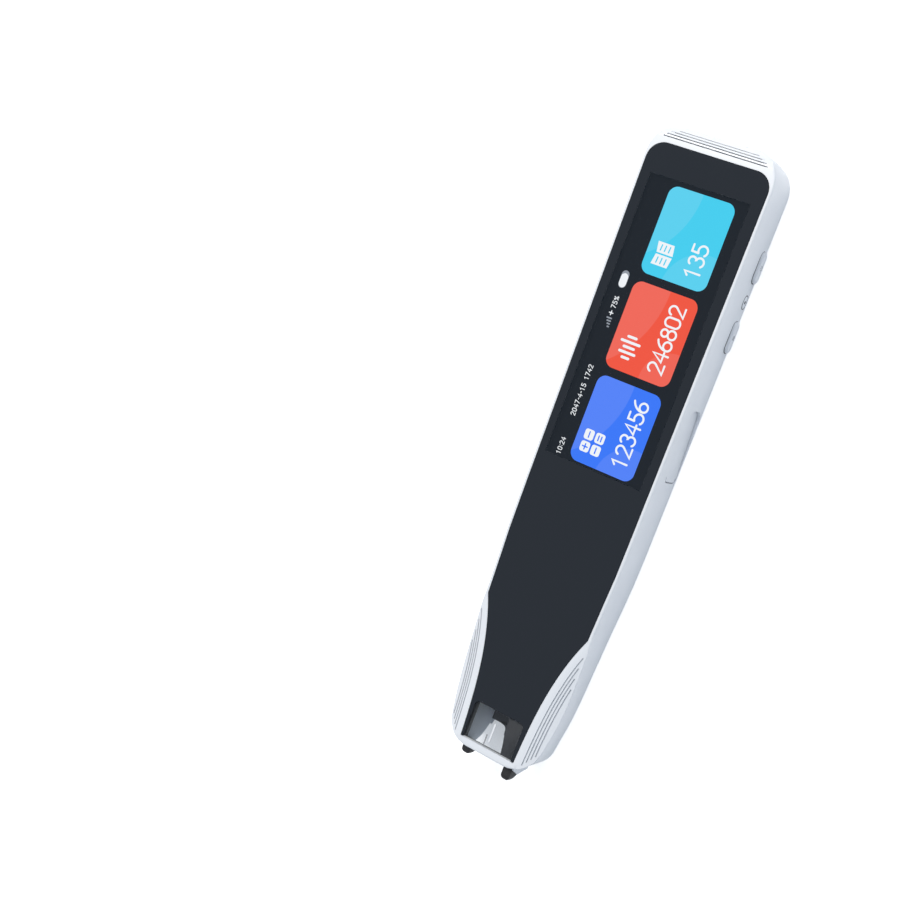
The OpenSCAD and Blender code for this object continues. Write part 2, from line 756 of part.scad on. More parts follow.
// Coil spring between the collar of the trigger shaft and the switch
module trigger_spring() {
    turns = 4;
    per_turn = 12;
    wire = 0.16;
    coil_r = 1.25;
    y0 = -65.4 + wire;
    y1 = -60.8 - wire;
    steps = turns * per_turn;
    color("silver") loft([for (i = [0:steps])
        let (a = 360 * i / per_turn, y = y0 + (y1 - y0) * i / steps)
        [for (k = [0:5]) let (b = -60 * k)
            [foot_x + (coil_r + wire * cos(b)) * cos(a), y + wire * sin(b),
             trigger_z + (coil_r + wire * cos(b)) * sin(a)]]]);
}

housing();
rear_cover();
front_glass();
scan_window();
display_panel();
backlight_unit();
mid_frame();
frame_screws();
main_board();
board_screws();
shield_can();
battery();
battery_pads();
speaker();
key_board();
dome_switches();
microphone();
mic_trim();
power_button();
menu_button();
usb_socket();
port_cover();
port_cover_pin();
lanyard_insert();
scan_hood();
side_lining();
camera_module();
camera_lens();
light_board();
reading_leds();
camera_ribbon();
trigger_foot();
switch_plunger();
trigger_switch();
trigger_spring();
support_foot();
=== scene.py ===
"""Looks of a scanning translator pen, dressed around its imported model, in metres.

Sizes of pieces are written in millimetres and turned by MM. Lamps and the camera stand in metres.
"""

import logging
import math
from dataclasses import dataclass
from enum import Enum

import bpy
import numpy as np
from mathutils import Euler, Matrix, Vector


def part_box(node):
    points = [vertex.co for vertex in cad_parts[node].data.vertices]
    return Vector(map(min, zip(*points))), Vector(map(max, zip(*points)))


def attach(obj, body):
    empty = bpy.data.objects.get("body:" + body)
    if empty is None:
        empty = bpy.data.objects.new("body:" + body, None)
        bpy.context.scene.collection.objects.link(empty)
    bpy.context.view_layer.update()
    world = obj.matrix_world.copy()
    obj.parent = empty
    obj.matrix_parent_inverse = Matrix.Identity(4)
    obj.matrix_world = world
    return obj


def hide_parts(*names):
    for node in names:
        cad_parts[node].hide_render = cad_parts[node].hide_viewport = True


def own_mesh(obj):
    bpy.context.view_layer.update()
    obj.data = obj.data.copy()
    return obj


LOG = logging.getLogger("pen")
MM = 0.001
Array = np.ndarray
Colour = tuple[float, float, float]
Place = tuple[float, float, float]
Point = tuple[float, float]
Disc = tuple[float, float, float, float]
Faces = list[list[int]]
Mesh = tuple[Array, Faces]
Piece = bpy.types.Object
Material = bpy.types.Material
Socket = bpy.types.NodeSocket

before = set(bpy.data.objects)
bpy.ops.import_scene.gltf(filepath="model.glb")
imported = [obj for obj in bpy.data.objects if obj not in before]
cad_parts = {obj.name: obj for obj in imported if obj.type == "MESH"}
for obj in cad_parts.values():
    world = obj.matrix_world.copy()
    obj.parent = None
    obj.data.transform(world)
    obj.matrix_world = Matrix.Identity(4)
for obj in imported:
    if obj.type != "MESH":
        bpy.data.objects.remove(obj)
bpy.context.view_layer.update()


class Slot(Enum):
    """Names of material slots; no piece here is given one."""

    SCREEN = "screen"
    WINDOW = "clear_window"
    SHELL = "white_shell"
    HOOD = "hood_plastic"
    BLACK = "black_plastic"
    SPRING = "spring_steel"


class Body(Enum):
    """Bodies of the model that pieces ride on."""

    PEN = "pen"
    POWER = "power_key"
    MENU = "menu_key"


def srgb(red: int, green: int, blue: int) -> Colour:
    """Turns a display colour into a linear one.

    Args:
        red: Display value from 0 to 255.
        green: Display value from 0 to 255.
        blue: Display value from 0 to 255.

    Returns:
        The linear colour.
    """
    parts = np.array([red, green, blue]) / 255.0
    linear = np.where(parts <= 0.04045, parts / 12.92, ((parts + 0.055) / 1.055) ** 2.4)
    return tuple(float(v) for v in linear)


def shade(colour: Colour, share: float) -> Colour:
    """Scales a colour by a share."""
    return tuple(c * share for c in colour)


def in_mm(box: tuple[Place, Place]) -> tuple[Array, Array]:
    """Turns the lowest and the highest corner of a box from metres into millimetres."""
    low, high = box
    return np.array(low) / MM, np.array(high) / MM


# --- meshes -----------------------------------------------------------------------------------


def grid_faces(rows: int, columns: int) -> Faces:
    """Quads between neighbouring rings, each ring closed on itself.

    Args:
        rows: Number of rings.
        columns: Number of points in each ring.

    Returns:
        Faces that point outwards when the rings turn left and climb.
    """
    row, col = np.meshgrid(np.arange(rows - 1), np.arange(columns), indexing="ij")
    right = (col + 1) % columns
    below, above = row * columns, (row + 1) * columns
    quads = np.stack([below + col, below + right, above + right, above + col], axis=-1)
    return quads.reshape(-1, 4).tolist()


def ring_solid(rings: Array) -> Mesh:
    """Closed solid through a stack of rings, with a flat cap at each end.

    Args:
        rings: Points of shape (levels, points, 3), turning left and climbing.

    Returns:
        Vertices and faces.
    """
    levels, count, _ = rings.shape
    faces = grid_faces(levels, count)
    faces.append(list(range(count - 1, -1, -1)))
    faces.append([(levels - 1) * count + i for i in range(count)])
    return rings.reshape(-1, 3), faces


def join(parts: list[Mesh]) -> Mesh:
    """Several meshes as one.

    Args:
        parts: The meshes.

    Returns:
        Vertices and faces of all of them.
    """
    offsets = np.cumsum([0] + [len(v) for v, _ in parts[:-1]])
    faces = [[i + int(o) for i in f] for (_, fs), o in zip(parts, offsets) for f in fs]
    return np.concatenate([v for v, _ in parts]), faces


def piece(name: str, vertices: Array, faces: Faces, soft_angle: float = 35) -> Piece:
    """Makes an object of a mesh.

    Args:
        name: Name of the object and its mesh.
        vertices: Points of shape (n, 3), in millimetres.
        faces: Indices of the points of each face.
        soft_angle: Largest edge angle in degrees that is shaded smooth.

    Returns:
        The object, at the origin.
    """
    mesh = bpy.data.meshes.new(name)
    mesh.from_pydata((vertices * MM).tolist(), [], faces)
    mesh.validate()
    mesh.polygons.foreach_set("use_smooth", np.ones(len(mesh.polygons), dtype=bool))
    mesh.set_sharp_from_angle(angle=math.radians(soft_angle))
    made = bpy.data.objects.new(name, mesh)
    bpy.context.collection.objects.link(made)
    return made


def rounded_outline(low: Point, high: Point, radius: float, steps: int = 8) -> Array:
    """Rectangle with round corners: four quarter circles, joined by straight sides.

    Args:
        low: Lowest x and y.
        high: Highest x and y.
        radius: Radius of the corners.
        steps: Segments of each quarter circle.

    Returns:
        Points of shape (4 * (steps + 1), 2), turning left.
    """
    start = np.repeat(np.array([-90.0, 0.0, 90.0, 180.0]), steps + 1)
    angle = np.radians(start + np.tile(np.linspace(0, 90, steps + 1), 4))
    left, right = low[0] + radius, high[0] - radius
    near, far = low[1] + radius, high[1] - radius
    centre_x = np.repeat([right, right, left, left], steps + 1)
    centre_y = np.repeat([near, far, far, near], steps + 1)
    return np.stack([centre_x + radius * np.cos(angle), centre_y + radius * np.sin(angle)], axis=1)


def circle_outline(x: float, y: float, radius: float, steps: int = 32) -> Array:
    """Circle with its middle at x and y, turning left."""
    angle = np.linspace(0, 2 * np.pi, steps, endpoint=False)
    return np.stack([x + radius * np.cos(angle), y + radius * np.sin(angle)], axis=1)


def arc(x: float, y: float, radius: float, start: float, end: float, steps: int = 18) -> Array:
    """Points on a circle from a start to an end angle in degrees."""
    angle = np.radians(np.linspace(start, end, steps + 1))
    return np.stack([x + radius * np.cos(angle), y + radius * np.sin(angle)], axis=1)


def stroke(path: Array, width: float, low: float, high: float, closed: bool = False) -> Mesh:
    """Flat band along a path, mitred at its bends, with round ends.

    Half the width is divided by the cosine of half the bend, which is taken as 0.6 where the
    bend is sharper. Past an open end it falls as the cosine of the angle whose sine is the way
    past the end, which is a half circle.

    Args:
        path: Points of shape (n, 2).
        width: Width of the band.
        low: Height of its underside.
        high: Height of its top.
        closed: Whether the last point joins the first.

    Returns:
        Vertices and faces.
    """
    half = np.full(len(path), width / 2)
    least_cosine = 0.6
    if not closed:
        turn = np.radians([25.0, 50.0, 70.0, 86.0])
        reach, thin = width / 2 * np.sin(turn), width / 2 * np.cos(turn)
        first, last = path[0] - path[1], path[-1] - path[-2]
        first, last = first / np.linalg.norm(first), last / np.linalg.norm(last)
        path = np.concatenate([path[0] + first * reach[::-1, None], path, path[-1] + last * reach[:, None]])
        half = np.concatenate([thin[::-1], half, thin])
    ahead = np.roll(path, -1, axis=0) - path
    ahead /= np.linalg.norm(ahead, axis=1, keepdims=True)
    if not closed:
        ahead[-1] = ahead[-2]
    behind = np.roll(ahead, 1, axis=0)
    if not closed:
        behind[0] = ahead[0]
    along = ahead + behind
    along /= np.linalg.norm(along, axis=1, keepdims=True)
    mitre = 1 / np.maximum(np.sum(along * ahead, axis=1), least_cosine)
    left = np.stack([-along[:, 1], along[:, 0]], axis=1) * (half * mitre)[:, None]
    flat = np.stack([path - left, path + left, path + left, path - left], axis=1)
    height = np.broadcast_to(np.array([low, low, high, high])[None, :, None], (len(path), 4, 1))
    rings = np.concatenate([flat, height], axis=2)
    if not closed:
        return ring_solid(rings)
    faces = np.array(grid_faces(len(path) + 1, 4)) % (4 * len(path))
    return rings.reshape(-1, 3), faces.tolist()


def numeral(sign: str) -> list[tuple[Array, bool]]:
    """Paths of a plain numeral or mark one unit high, and whether each is closed.

    Args:
        sign: A digit from 0 to 8, a colon, a dash, a percent mark or a space.

    Returns:
        The paths, each a ring or an open line.
    """
    if sign == "0":
        ends = arc(0.28, 0.72, 0.27, 0, 180), arc(0.28, 0.28, 0.27, 180, 360)
        return [(np.concatenate(ends)[:-1], True)]
    if sign == "1":
        return [(np.array([[0.08, 0.78], [0.3, 1.0], [0.3, 0.0]]), False)]
    if sign == "2":
        return [(np.concatenate([arc(0.28, 0.73, 0.27, 165, -38), [[0.02, 0.0], [0.56, 0.0]]]), False)]
    if sign == "3":
        return [(np.concatenate([arc(0.27, 0.75, 0.24, 150, -70), arc(0.27, 0.28, 0.27, 75, -150)]), False)]
    if sign == "4":
        return [(np.array([[0.42, 0.0], [0.42, 1.0], [0.0, 0.32], [0.58, 0.32]]), False)]
    if sign == "5":
        corner = np.array([[0.5, 1.0], [0.1, 1.0], [0.08, 0.57]])
        return [(corner, False), (arc(0.26, 0.32, 0.3, 125, -145), False)]
    if sign == "6":
        return [(arc(0.28, 0.28, 0.27, 0, 340), True), (arc(0.72, 0.3, 0.71, 108, 178), False)]
    if sign == "7":
        return [(np.array([[0.0, 1.0], [0.55, 1.0], [0.2, 0.0]]), False)]
    if sign == "8":
        return [(arc(0.28, 0.76, 0.22, 0, 340), True), (arc(0.28, 0.27, 0.27, 0, 340), True)]
    if sign == ":":
        return [(np.array([[0.06, v], [0.06, v + 0.02]]), False) for v in (0.24, 0.74)]
    if sign == "-":
        return [(np.array([[0.04, 0.5], [0.3, 0.5]]), False)]
    if sign == "%":
        rings = [(arc(u, v, 0.14, 0, 330, 11), True) for u, v in ((0.14, 0.8), (0.62, 0.2))]
        return [(np.array([[0.14, 0.0], [0.62, 1.0]]), False), *rings]
    return []


@dataclass(frozen=True)
class Lettering:
    """Plain numerals of even weight, read along +Y with their tops towards -X."""

    height: float
    weight: float
    pitch: float = 0.84
    narrow: tuple[tuple[str, float], ...] = ((":", 0.36), ("-", 0.58), (" ", 0.7))

    def write(self, text: str, x: float, y: float, low: float, high: float) -> list[Mesh]:
        """Solids of a row of numerals.

        Args:
            text: What it says.
            x: Middle of the row across the pen.
            y: Where it starts along the pen.
            low: Height of the underside.
            high: Height of the top.

        Returns:
            One mesh for each stroke.
        """
        solids = []
        widths = dict(self.narrow)
        for sign in text:
            for path, closed in numeral(sign):
                across, along = x + self.height * (0.5 - path[:, 1]), y + self.height * path[:, 0]
                solids.append(stroke(np.stack([across, along], axis=1), self.weight, low, high, closed))
            y += self.height * widths.get(sign, self.pitch)
        return solids


def slab(outline: Array, low: float, high: float, round_edge: float = 0.0) -> Mesh:
    """Plate over an outline, whose upper edge may be a quarter circle.

    The inset at height h above the start of the round is r - sqrt(r^2 - h^2), along the
    inward normal of the outline. A last ring, a little further in, keeps the top flat.

    Args:
        outline: Points of shape (n, 2), turning left.
        low: Height of the underside.
        high: Height of the top.
        round_edge: Radius of the upper edge.

    Returns:
        Vertices and faces.
    """
    ahead = np.roll(outline, -1, axis=0) - np.roll(outline, 1, axis=0)
    normal = np.stack([-ahead[:, 1], ahead[:, 0]], axis=1)
    normal /= np.maximum(np.linalg.norm(normal, axis=1, keepdims=True), 1e-9)
    inset, height = np.zeros(2), np.array([low, high])
    last_ring = 0.03
    if round_edge:
        rise = round_edge * np.sin(np.radians([0, 30, 60, 90]))
        inward = round_edge - np.sqrt(np.maximum(round_edge**2 - rise**2, 0))
        inset = np.concatenate([[0.0], inward, [round_edge + last_ring]])
        height = np.concatenate([[low], high - round_edge + rise, [high]])
    flat = outline[None] + normal[None] * inset[:, None, None]
    rings = np.concatenate([flat, np.broadcast_to(height[:, None, None], (*flat.shape[:2], 1))], axis=2)
    return ring_solid(rings)


# --- finishes ---------------------------------------------------------------------------------


class Graph:
    """A material and the few kinds of node that the finishes use."""

    def __init__(self, name: str) -> None:
        """Starts an empty material.

        Args:
            name: Its name.
        """
        self.material = bpy.data.materials.new(name)
        self.material.use_nodes = True
        self.tree = self.material.node_tree
        self.tree.nodes.clear()
        self.output = self.tree.nodes.new("ShaderNodeOutputMaterial")
        self.place = self.tree.nodes.new("ShaderNodeTexCoord").outputs["Object"]

    def add(self, kind: str, **values: object) -> bpy.types.Node:
        """Adds a node.

        Args:
            kind: Its type without the leading ShaderNode.
            values: Its inputs, linked where they are sockets and set where not, and the
                settings of the node itself, in lower case.

        Returns:
            The node.
        """
        node = self.tree.nodes.new("ShaderNode" + kind)
        for key, value in values.items():
            if hasattr(node, key) and key.islower():
                setattr(node, key, value)
                continue
            self.feed(node, key.replace("_", " "), value)
        return node

    def feed(self, node: bpy.types.Node, index: int | str, value: object) -> None:
        """Links a socket to an input of a node, or sets the input to a plain value.

        Args:
            node: The node.
            index: Name or number of the input.
            value: A socket, a number or a colour.
        """
        if isinstance(value, Socket):
            self.tree.links.new(value, node.inputs[index])
        else:
            node.inputs[index].default_value = value

    def noise(self, scale: float, detail: float = 2.0, stretch: Place = (1, 1, 1)) -> Socket:
        """Noise on the object's own place.

        Args:
            scale: Cells for each metre.
            detail: Finer layers on top.
            stretch: Factors on the three axes.

        Returns:
            The socket of its value.
        """
        source = self.place
        if stretch != (1, 1, 1):
            source = self.add("Mapping", Vector=self.place, Scale=stretch).outputs[0]
        return self.add("TexNoise", Vector=source, Scale=scale, Detail=detail).outputs["Fac"]

    def ramp(self, value: Socket, start: float, end: float, low: float, high: float) -> Socket:
        """Maps start to end of a value onto low to high, and holds it beyond them."""
        values = {"From_Min": start, "From_Max": end, "To_Min": low, "To_Max": high}
        return self.add("MapRange", Value=value, **values).outputs[0]

    def span(self, value: Socket, low: float, high: float) -> Socket:
        """Maps the middle of a noise, 0.3 to 0.7, onto low to high."""
        return self.ramp(value, 0.3, 0.7, low, high)

    def blend(self, share: object, first: object, second: object) -> Socket:
        """Mixes two colours.

        Args:
            share: How much of the second shows, from 0 to 1.
            first: A colour or the socket of one.
            second: A colour or the socket of one.

        Returns:
            The socket of the mixed colour.
        """
        node = self.add("Mix", data_type="RGBA")
        self.feed(node, 0, share)
        for index, colour in ((6, first), (7, second)):
            self.feed(node, index, colour if isinstance(colour, Socket) else (*colour, 1.0))
        return node.outputs[2]

    def bump(self, height: Socket, depth: float, strength: float = 1.0) -> Socket:
        """Normal of a height field that is depth metres high."""
        return self.add("Bump", Height=height, Distance=depth, Strength=strength).outputs[0]

    def math(self, operation: str, first: object, second: object = 0.0) -> Socket:
        """Sum, product and the like of two values.

        Args:
            operation: Name of the operation.
            first: A number or the socket of one.
            second: A number or the socket of one.

        Returns:
            The socket of the result.
        """
        node = self.add("Math", operation=operation)
        self.feed(node, 0, first)
        self.feed(node, 1, second)
        return node.outputs[0]

    def axes(self) -> list[Socket]:
        """The x, y and z of the object's own place."""
        return list(self.add("SeparateXYZ", Vector=self.place).outputs)

    def mix_shaders(self, share: Socket, under: Socket, over: Socket) -> Socket:
        """Mixes two shaders; a share of 1 shows only the one that lies over.

        Args:
            share: How much of the shader that lies over shows.
            under: The shader below.
            over: The shader above.

        Returns:
            The socket of the mixed shader.
        """
        node = self.add("MixShader", Fac=share)
        self.feed(node, 1, under)
        self.feed(node, 2, over)
        return node.outputs[0]

    def add_shaders(self, first: Socket, second: Socket) -> Socket:
        """Adds the light of two shaders.

        Args:
            first: One shader.
            second: The other.

        Returns:
            The socket of their sum.
        """
        node = self.add("AddShader")
        self.feed(node, 0, first)
        self.feed(node, 1, second)
        return node.outputs[0]

    def finish(self, shader: Socket) -> Material:
        """Connects the surface and returns the material."""
        self.tree.links.new(shader, self.output.inputs["Surface"])
        return self.material


@dataclass(frozen=True)
class MouldedPlastic:
    """Injection-moulded plastic: even colour with faint flow, a fine spark-eroded grain.

    A seam is a fine dark line at one height, and a height below zero means none. Narrow
    grooves and gaps get painted shade, darker where ambient occlusion finds them closed in,
    and the crevice share is how much of the dark colour they take there.
    """

    name: str
    colour: Colour
    roughness: float = 0.35
    grain: float = 6000.0
    grain_depth: float = 0.000004
    flow: float = 0.03
    specular: float = 0.5
    seam_z: float = -1.0
    crevice_shade: float = 0.0
    seam_share: float = 0.45
    groove_width: float = 0.7

    def make(self) -> Material:
        """Builds the material.

        Returns:
            The material.
        """
        g = Graph(self.name)
        seam_and_shade_dark = shade(self.colour, 0.3)
        paint = g.blend(g.span(g.noise(60, 3), 0, 1), shade(self.colour, 1 - self.flow), self.colour)
        if self.seam_z >= 0:
            away = g.math("ABSOLUTE", g.math("SUBTRACT", g.axes()[2], self.seam_z * MM))
            paint = g.blend(g.ramp(away, 0.03 * MM, 0.07 * MM, self.seam_share, 0.0), paint, seam_and_shade_dark)
        # Painted shade: ambient occlusion darkens grooves and gaps towards the dark colour.
        if self.crevice_shade > 0:
            openness = g.add("AmbientOcclusion", samples=8, Distance=self.groove_width * MM).outputs["AO"]
            paint = g.blend(g.ramp(openness, 0.35, 0.85, self.crevice_shade, 0.0), paint, seam_and_shade_dark)
        shader = g.add(
            "BsdfPrincipled",
            Base_Color=paint,
            Roughness=g.span(g.noise(900, 3), self.roughness - 0.04, self.roughness + 0.04),
            Normal=g.bump(g.noise(self.grain, 2), self.grain_depth),
        )
        shader.inputs["Specular IOR Level"].default_value = self.specular
        return g.finish(shader.outputs[0])


@dataclass(frozen=True)
class Metal:
    """Rolled or drawn metal: long fine scratches along one axis."""

    name: str
    colour: Colour
    roughness: float = 0.3
    stretch: Place = (1, 12, 1)
    scratch: float = 4000.0
    scratch_depth: float = 0.000003

    def make(self) -> Material:
        """Builds the material.

        Returns:
            The material.
        """
        g = Graph(self.name)
        lines = g.noise(self.scratch, 3, self.stretch)
        shader = g.add(
            "BsdfPrincipled",
            Base_Color=g.blend(g.span(lines, 0, 1), shade(self.colour, 0.85), self.colour),
            Roughness=g.span(lines, self.roughness - 0.08, self.roughness + 0.08),
            Normal=g.bump(lines, self.scratch_depth),
            Metallic=1.0,
        )
        return g.finish(shader.outputs[0])


@dataclass(frozen=True)
class ClearPane:
    """Clear polished pane: lets light and sight through and mirrors on its outer face.

    Its cut sides are painted, the one at the tip pale and the others dark, and its edge is
    ground to a grey line. The pale side at the tip also glows as painted light, by tip_glow,
    though no lamp lights it. The height of the normal is over flat_from on its faces and under
    side_to on its sides, and the ground edge lies between.
    """

    name: str = "window_clear"
    tint: Colour = (0.875, 0.885, 0.895)
    ior: float = 1.42
    face_z: float = 13.5
    tip_y: float = -78.55
    dark_side: Colour = (0.02, 0.023, 0.027)
    ground_edge: Colour = (0.2, 0.21, 0.23)
    pale_side: Colour = (0.75, 0.77, 0.8)
    tip_glow: float = 0.4
    flat_from: float = 0.96
    side_to: float = 0.3

    def pane(self, g: Graph) -> Socket:
        """Adds the shader of the pane to a material.

        Args:
            g: The material.

        Returns:
            The socket of the shader.
        """
        face = g.math("GREATER_THAN", g.axes()[2], self.face_z * MM)
        mirror = g.math("MULTIPLY", face, g.add("Fresnel", IOR=self.ior).outputs[0])
        clear = g.add("BsdfTransparent", Color=(*self.tint, 1.0))
        gloss = g.add("BsdfGlossy", Roughness=g.span(g.noise(45, 4), 0.03, 0.07), Color=(1, 1, 1, 1))
        return g.mix_shaders(mirror, clear.outputs[0], gloss.outputs[0])

    def make(self) -> Material:
        """Builds the material.

        Returns:
            The material.
        """
        g = Graph(self.name)
        normal = g.add("SeparateXYZ", Vector=g.add("TexCoord").outputs["Normal"]).outputs
        upright = g.math("ABSOLUTE", normal[2])
        at_tip = g.math("LESS_THAN", g.axes()[1], self.tip_y * MM)
        colour = g.blend(g.math("GREATER_THAN", upright, self.side_to), self.dark_side, self.ground_edge)
        matt = g.add("BsdfDiffuse", Color=g.blend(at_tip, colour, self.pale_side), Roughness=0.0)
        # Painted light: the pale side at the tip glows by tip_glow, though no lamp lights it.
        glow = g.math("MULTIPLY", at_tip, self.tip_glow)
        painted_tip_light = g.add("Emission", Color=(0.95, 0.98, 1.0, 1.0), Strength=glow)
        paint = g.add_shaders(matt.outputs[0], painted_tip_light.outputs[0])
        return g.finish(g.mix_shaders(g.math("LESS_THAN", upright, self.flat_from), self.pane(g), paint))


@dataclass(frozen=True)
class CoverGlass(ClearPane):
    """Polished cover glass: dark print with a clear rectangle over the lit screen."""

    name: str = "cover_glass_print"
    tint: Colour = (0.97, 0.98, 0.985)
    print_colour: Colour = (0.0108, 0.0145, 0.0205)
    low: Point = (-13.93, -4.93)
    high: Point = (13.66, 67.37)
    back_z: float = 12.95
    specular: float = 0.42

    def make(self) -> Material:
        """Builds the material; the clear field is a rectangle of the object's own place.

        Returns:
            The material.
        """
        g = Graph(self.name)
        x, y, z = g.axes()
        within = []
        for axis, low, high in ((x, self.low[0], self.high[0]), (y, self.low[1], self.high[1])):
            within.append(g.math("GREATER_THAN", axis, low * MM))
            within.append(g.math("LESS_THAN", axis, high * MM))
        across, along = g.math("MULTIPLY", *within[:2]), g.math("MULTIPLY", *within[2:])
        at_back = g.math("LESS_THAN", z, self.back_z * MM)
        clear = g.math("MAXIMUM", g.math("MULTIPLY", across, along), at_back)
        dots = g.span(g.noise(2500, 2), 0, 1)
        ink = g.add(
            "BsdfPrincipled",
            Base_Color=g.blend(dots, shade(self.print_colour, 0.93), self.print_colour),
            Roughness=g.span(g.noise(45, 4), 0.05, 0.09),
        )
        ink.inputs["Specular IOR Level"].default_value = self.specular
        return g.finish(g.mix_shaders(clear, ink.outputs[0], self.pane(g)))


@dataclass(frozen=True)
class LitPaint:
    """Lit pixels: an even glow with a fine grain and wide paler discs.

    A disc is given by its x, y and radius in millimetres and its share of white.
    """

    name: str
    colour: Colour
    strength: float = 1.0
    discs: tuple[Disc, ...] = ()
    pitch: float = 9000.0
    soft: float = 0.1

    def make(self) -> Material:
        """Builds the material.

        Returns:
            The material.
        """
        g = Graph(self.name)
        x, y, _ = g.axes()
        colour: object = self.colour
        for centre_x, centre_y, radius, white in self.discs:
            across, along = g.math("SUBTRACT", x, centre_x * MM), g.math("SUBTRACT", y, centre_y * MM)
            square = g.math("ADD", g.math("MULTIPLY", across, across), g.math("MULTIPLY", along, along))
            edges = (radius - self.soft) * MM, (radius + self.soft) * MM
            colour = g.blend(g.ramp(g.math("SQRT", square), *edges, white, 0.0), colour, (1.0, 1.0, 1.0))
        shader = g.add(
            "BsdfPrincipled",
            Base_Color=(0.004, 0.004, 0.005, 1),
            Roughness=0.5,
            Emission_Color=g.blend(g.span(g.noise(self.pitch, 1), 0, 0.04), colour, (0.0, 0.0, 0.0)),
            Emission_Strength=self.strength,
        )
        shader.inputs["Specular IOR Level"].default_value = 0.0
        return g.finish(shader.outputs[0])


@dataclass(frozen=True)
class BoardMask:
    """Circuit board: solder mask with faint copper tracks below it."""

    name: str
    colour: Colour = (0.012, 0.075, 0.035)
    tracks: float = 900.0

    def make(self) -> Material:
        """Builds the material.

        Returns:
            The material.
        """
        g = Graph(self.name)
        tones = {"Color1": (1, 1, 1, 1), "Color2": (0.6, 0.6, 0.6, 1), "Mortar": (0, 0, 0, 1)}
        cells = g.add("TexBrick", Vector=g.place, Scale=self.tracks, **tones).outputs["Color"]
        shader = g.add(
            "BsdfPrincipled",
            Base_Color=g.blend(cells, shade(self.colour, 1.6), self.colour),
            Roughness=g.span(g.noise(1200, 2), 0.3, 0.42),
            Normal=g.bump(cells, 0.00001, 0.5),
        )
        return g.finish(shader.outputs[0])


@dataclass(frozen=True)
class Crumpled:
    """Foil pouch, foam or film: broad wrinkles over fine ones."""

    name: str
    colour: Colour
    roughness: float
    metallic: float = 0.0
    wrinkle: float = 220.0
    depth: float = 0.00008

    def make(self) -> Material:
        """Builds the material.

        Returns:
            The material.
        """
        g = Graph(self.name)
        folds = g.noise(self.wrinkle, 5)
        shader = g.add(
            "BsdfPrincipled",
            Base_Color=g.blend(g.span(folds, 0, 1), shade(self.colour, 0.8), self.colour),
            Roughness=g.span(g.noise(2500, 3), self.roughness - 0.05, self.roughness + 0.08),
            Normal=g.bump(folds, self.depth, 0.6),
            Metallic=self.metallic,
        )
        return g.finish(shader.outputs[0])


# --- dressing ---------------------------------------------------------------------------------


def soft_edge_group() -> bpy.types.NodeTree:
    """Geometry nodes that shade smooth and keep edges over an angle sharp.

    Returns:
        The node group, with the angle as its second input.
    """
    tree = bpy.data.node_groups.new("soft_edges", "GeometryNodeTree")
    tree.interface.new_socket("Geometry", in_out="INPUT", socket_type="NodeSocketGeometry")
    angle = tree.interface.new_socket("Angle", in_out="INPUT", socket_type="NodeSocketFloat")
    tree.interface.new_socket("Geometry", in_out="OUTPUT", socket_type="NodeSocketGeometry")
    angle.default_value = math.radians(35)
    new = tree.nodes.new
    given, result = new("NodeGroupInput"), new("NodeGroupOutput")
    every, edges = new("GeometryNodeSetShadeSmooth"), new("GeometryNodeSetShadeSmooth")
    edges.domain = "EDGE"
    edges.inputs["Shade Smooth"].default_value = False
    fold, over = new("GeometryNodeInputMeshEdgeAngle"), new("FunctionNodeCompare")
    over.operation = "GREATER_THAN"
    link = tree.links.new
    link(given.outputs[0], every.inputs["Geometry"])
    link(every.outputs[0], edges.inputs["Geometry"])
    link(fold.outputs["Unsigned Angle"], over.inputs["A"])
    link(given.outputs[1], over.inputs["B"])
    link(over.outputs[0], edges.inputs["Selection"])
    link(edges.outputs[0], result.inputs[0])
    return tree


SOFT_EDGES = soft_edge_group()


def dress(node: str, material: Material, round_edge: float = 0.0, soft_angle: float = 35) -> None:
    """Gives a model node its finish, joined vertices, rounded edges and smooth shading.

    Args:
        node: Name of the node.
        material: The finish.
        round_edge: Width of the rounding of its sharp edges, in millimetres.
        soft_angle: Largest edge angle in degrees that is shaded smooth.
    """
    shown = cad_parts[node]
    shown.data.materials.clear()
    shown.data.materials.append(material)
    weld = shown.modifiers.new("join", "WELD")
    weld.merge_threshold = 2e-6
    if round_edge:
        bevel = shown.modifiers.new("round", "BEVEL")
        bevel.width = round_edge * MM
        bevel.segments = 3
        bevel.limit_method = "ANGLE"
        bevel.angle_limit = math.radians(50)
        bevel.use_clamp_overlap = True
    smooth = shown.modifiers.new("soft", "NODES")
    smooth.node_group = SOFT_EDGES
    smooth["Socket_1"] = math.radians(soft_angle)
    LOG.info("node %s: %s", node, material.name)


def place(made: Piece, material: Material, body: Body = Body.PEN) -> Piece:
    """Gives a new piece its finish and its body.

    Args:
        made: The piece.
        material: The finish.
        body: The body that it rides on.

    Returns:
        The piece.
    """
    made.data.materials.append(material)
    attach(made, body.value)
    LOG.info("piece %s: %s on %s", made.name, material.name, body.value)
    return made


